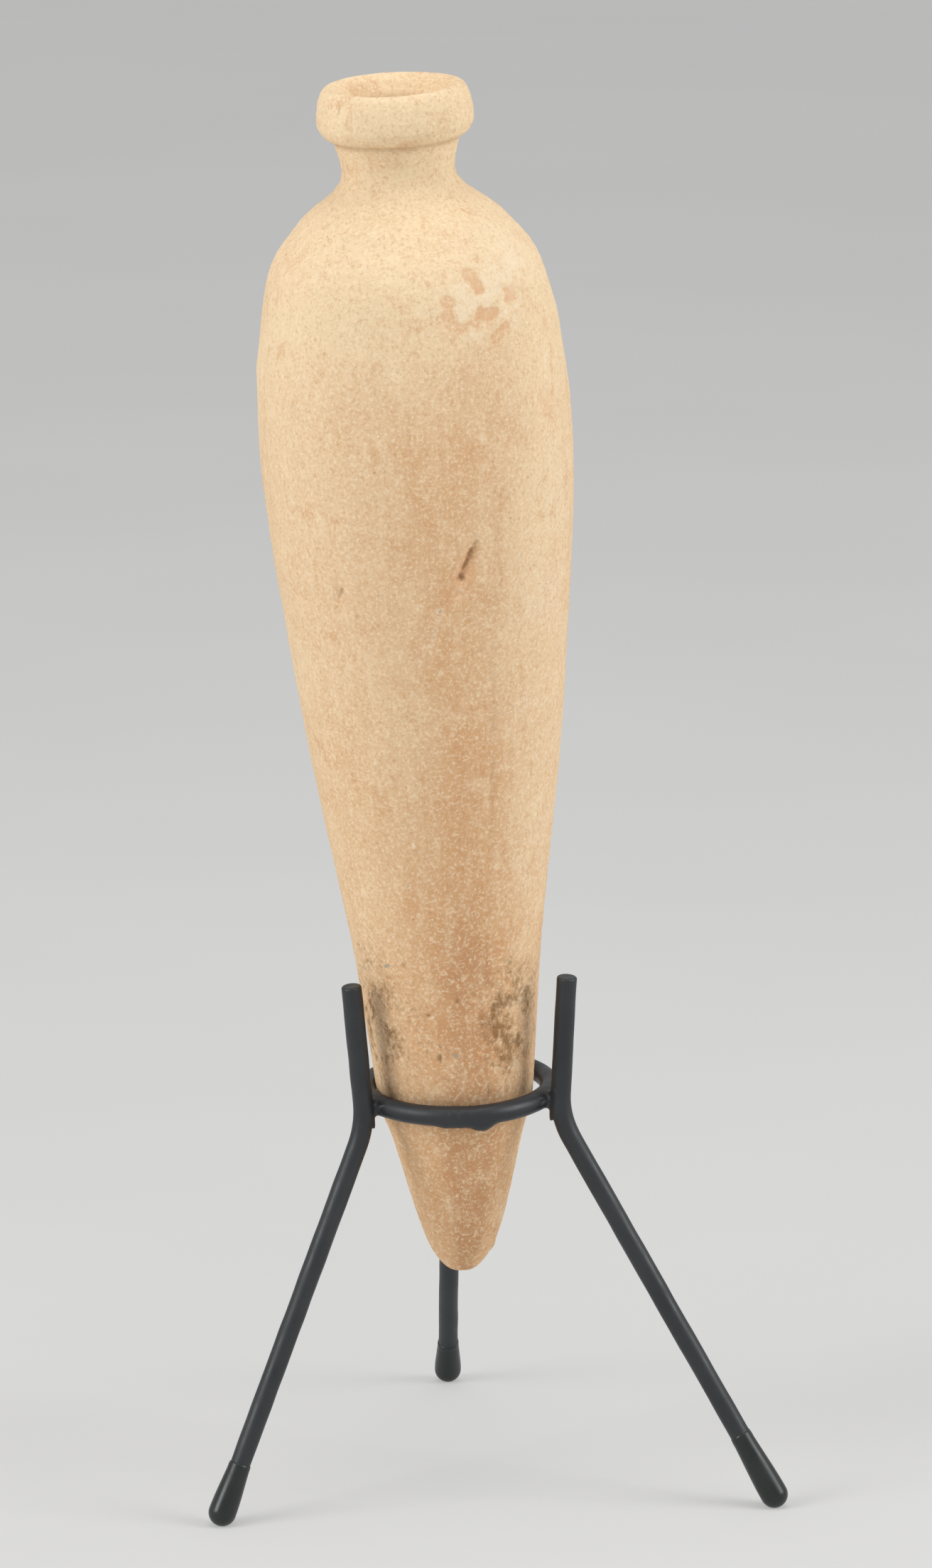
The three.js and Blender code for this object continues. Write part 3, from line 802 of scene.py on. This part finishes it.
PHOTO_SIZE = (1312, 2208)
PHOTO_FOCAL = 10000.0
CAMERA_AZIMUTH = 6.3
CAMERA_DISTANCE = 1629.4
CAMERA_HEIGHT = 500.6
CAMERA_PITCH = 11.57
FEET_OFF_AXIS = 3.7
SENSOR = 36.0


def camera():
    """Camera at the photograph's place, looking a little down at the bottle."""
    data = bpy.data.cameras.new("camera")
    data.sensor_width = SENSOR
    data.lens = SENSOR * PHOTO_FOCAL / max(PHOTO_SIZE)
    data.clip_end = 20
    place = Matrix.Rotation(-math.radians(CAMERA_AZIMUTH), 4, "Z") @ Vector((-FEET_OFF_AXIS, -CAMERA_DISTANCE, 0))
    view = bpy.data.objects.new("camera", data)
    view.location = (STAND_ORIGIN + place + Vector((0, 0, CAMERA_HEIGHT))) * MM
    view.rotation_euler = (math.radians(90 - CAMERA_PITCH), 0, -math.radians(CAMERA_AZIMUTH))
    bpy.context.collection.objects.link(view)
    bpy.context.scene.camera = view


def lamp(name, place, size, power):
    """Soft rectangular lamp aimed at the middle of the bottle."""
    data = bpy.data.lights.new(name, "AREA")
    data.shape = "RECTANGLE"
    data.size, data.size_y = size
    data.energy = power
    light = bpy.data.objects.new(name, data)
    light.location = place
    aim = Vector((0, 0, 0.18)) - Vector(place)
    light.rotation_euler = aim.to_track_quat("-Z", "Y").to_euler()
    bpy.context.collection.objects.link(light)


# Floor half width in metres, and how bright the floor and the world look where they are seen
FLOOR_REACH = 8.0
FLOOR_SEEN = 0.62
FLOOR_SEEN_SHARE = 0.5
WORLD_SEEN = 0.6
WORLD_LIGHT = 0.42


def seen_directly(tree):
    """Share of 1 for what the camera sees itself, in gloss or through something clear."""
    path = tree.nodes.new("ShaderNodeLightPath")
    total = path.outputs["Is Camera Ray"]
    for name in ("Is Glossy Ray", "Is Transmission Ray"):
        added = tree.nodes.new("ShaderNodeMath")
        added.operation = "ADD"
        added.use_clamp = True
        tree.links.new(total, added.inputs[0])
        tree.links.new(path.outputs[name], added.inputs[1])
        total = added.outputs["Value"]
    return total


def pale_floor():
    """Flat floor that keeps the object's shadow and stays pale far away."""
    reach = FLOOR_REACH / MM
    corners = [(-reach, -reach, 0), (reach, -reach, 0), (reach, reach, 0), (-reach, reach, 0)]
    pale = Shader("pale_floor")
    tone = pale.noise(3, 3, 0.5)
    colour = pale.mix(pale.ramp(tone, 0.3, 0.7), linear(222, 222, 220), linear(228, 228, 226))
    pale.finish(colour, 0.85, pale.bump(pale.noise(400, 2), 0.00005, 0.1))
    glow = pale.add("ShaderNodeEmission")
    glow.inputs["Strength"].default_value = FLOOR_SEEN
    shown = pale.add("ShaderNodeMixShader")
    pale.link(pale.math("MULTIPLY", seen_directly(pale.tree), FLOOR_SEEN_SHARE), shown.inputs[0])
    pale.link(pale.surface.outputs["BSDF"], shown.inputs[1])
    pale.link(glow.outputs["Emission"], shown.inputs[2])
    pale.link(shown.outputs["Shader"], pale.tree.nodes["Material Output"].inputs["Surface"])
    build_mesh("floor", corners, [(0, 1, 2, 3)], pale.material)


def studio():
    """Pale floor, a pale world and three soft lamps."""
    pale_floor()
    world = bpy.data.worlds.new("soft_world")
    world.use_nodes = True
    tree = world.node_tree
    background = tree.nodes["Background"]
    background.inputs["Color"].default_value = (1.0, 1.0, 1.0, 1.0)
    strength = tree.nodes.new("ShaderNodeMapRange")
    strength.inputs["To Min"].default_value = WORLD_LIGHT
    strength.inputs["To Max"].default_value = WORLD_SEEN
    tree.links.new(seen_directly(tree), strength.inputs["Value"])
    tree.links.new(strength.outputs["Result"], background.inputs["Strength"])
    bpy.context.scene.world = world
    lamp("left_lamp", (-1.45, -0.65, 0.95), (0.8, 1.1), 16)
    lamp("right_lamp", (1.45, -0.65, 0.95), (0.8, 1.1), 15.5)
    lamp("top_lamp", (0.0, -0.2, 1.6), (0.9, 0.9), 6)


paint = paint_material()
dip_coat = dip_material()
camera()
studio()

bottle = pot()
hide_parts("bottle_body", "bottle_neck", "bottle_rim")
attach(bottle, "bottle")

stand_ring = ring()
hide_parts("ring", "ring_weld")
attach(stand_ring, "stand")

for leg_name, (leg_azimuth, leg_dip) in LEGS.items():
    made = {
        "leg_" + leg_name: (leg(leg_name, leg_azimuth), "paint"),
        "fillet_" + leg_name: (fillet(leg_name, leg_azimuth), "paint"),
        "foot_" + leg_name: (foot(leg_name, leg_azimuth, leg_dip), "dip"),
    }
    for node, (piece, finish) in made.items():
        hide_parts(node)
        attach(piece, "stand")

bpy.context.scene.view_settings.view_transform = "Standard"
bpy.context.view_layer.update()
